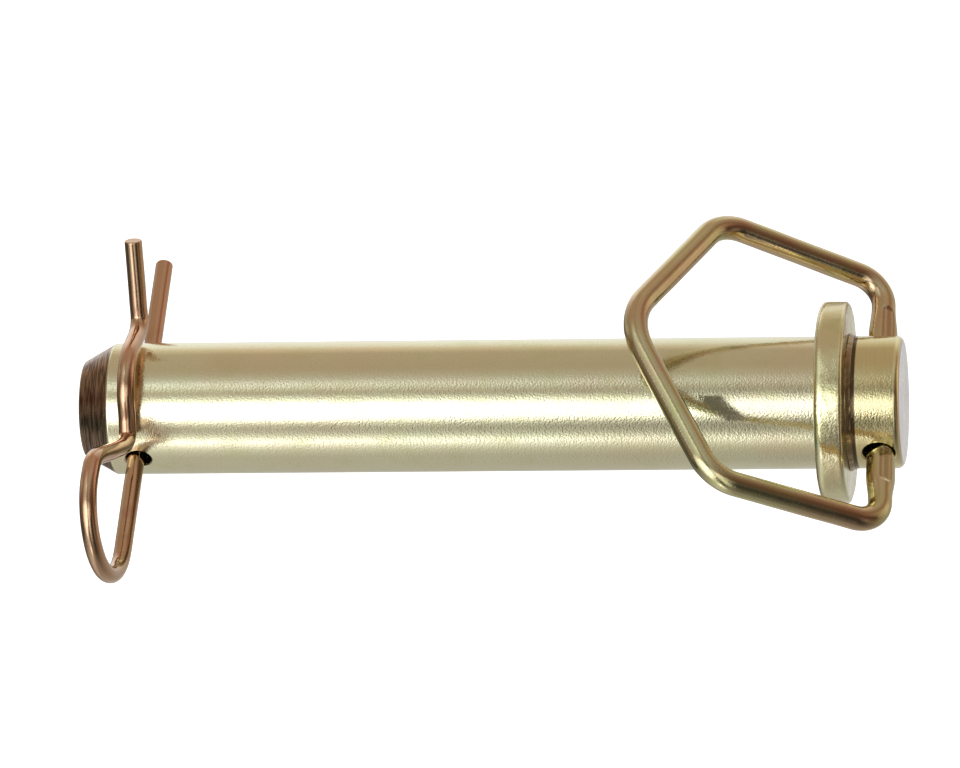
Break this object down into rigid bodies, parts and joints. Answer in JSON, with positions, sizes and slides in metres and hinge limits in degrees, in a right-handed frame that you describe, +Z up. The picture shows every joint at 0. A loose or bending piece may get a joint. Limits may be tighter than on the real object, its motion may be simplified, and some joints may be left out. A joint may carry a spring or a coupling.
{
  "type": "hitch pin lock",
  "caption": "Round steel hitch pin with a bevelled tip and a stop collar, a swinging wire pull handle through its head and a removable hairpin clip through its tip.",
  "frame": {"origin": "centre of the flat tip face, on the pin's axis", "axes": "+X along the pin from tip to head; +Z up with the pin lying on its collar rim, tip and clip; the cross holes run sideways and dip 17.5 degrees below +Y"},
  "size_m": [0.179, 0.0893, 0.0623],
  "materials": {
    "pin_steel": "yellow zinc plated, satin with fine turning lines",
    "collar_steel": "yellow zinc plated, slightly uneven",
    "weld_steel": "plated weld bead, pinkish brown",
    "handle_wire": "yellow zinc plated drawn wire, semi-gloss",
    "clip_wire": "copper-tinted zinc plated spring wire, glossy"
  },
  "bodies": {
    "pin": {"pin_bar": "pin_steel", "collar_ring": "collar_steel", "collar_weld": "weld_steel"},
    "handle": {"pull_handle": "handle_wire"},
    "clip": {"r_clip": "clip_wire"}
  },
  "joints": [
    {"name": "handle_swing", "type": "hinge", "parent": "pin", "child": "handle", "pos_m": [0.1742, 0, 0], "axis": [-0.0349, 0.9531, -0.3005], "range_deg": [-13.5, 311]},
    {"name": "clip_slide", "type": "slide", "parent": "pin", "child": "clip", "axis": [-0.0105, -0.9537, 0.3007], "range_m": [0, 0.062], "deforming": ["r_clip"]}
  ]
}
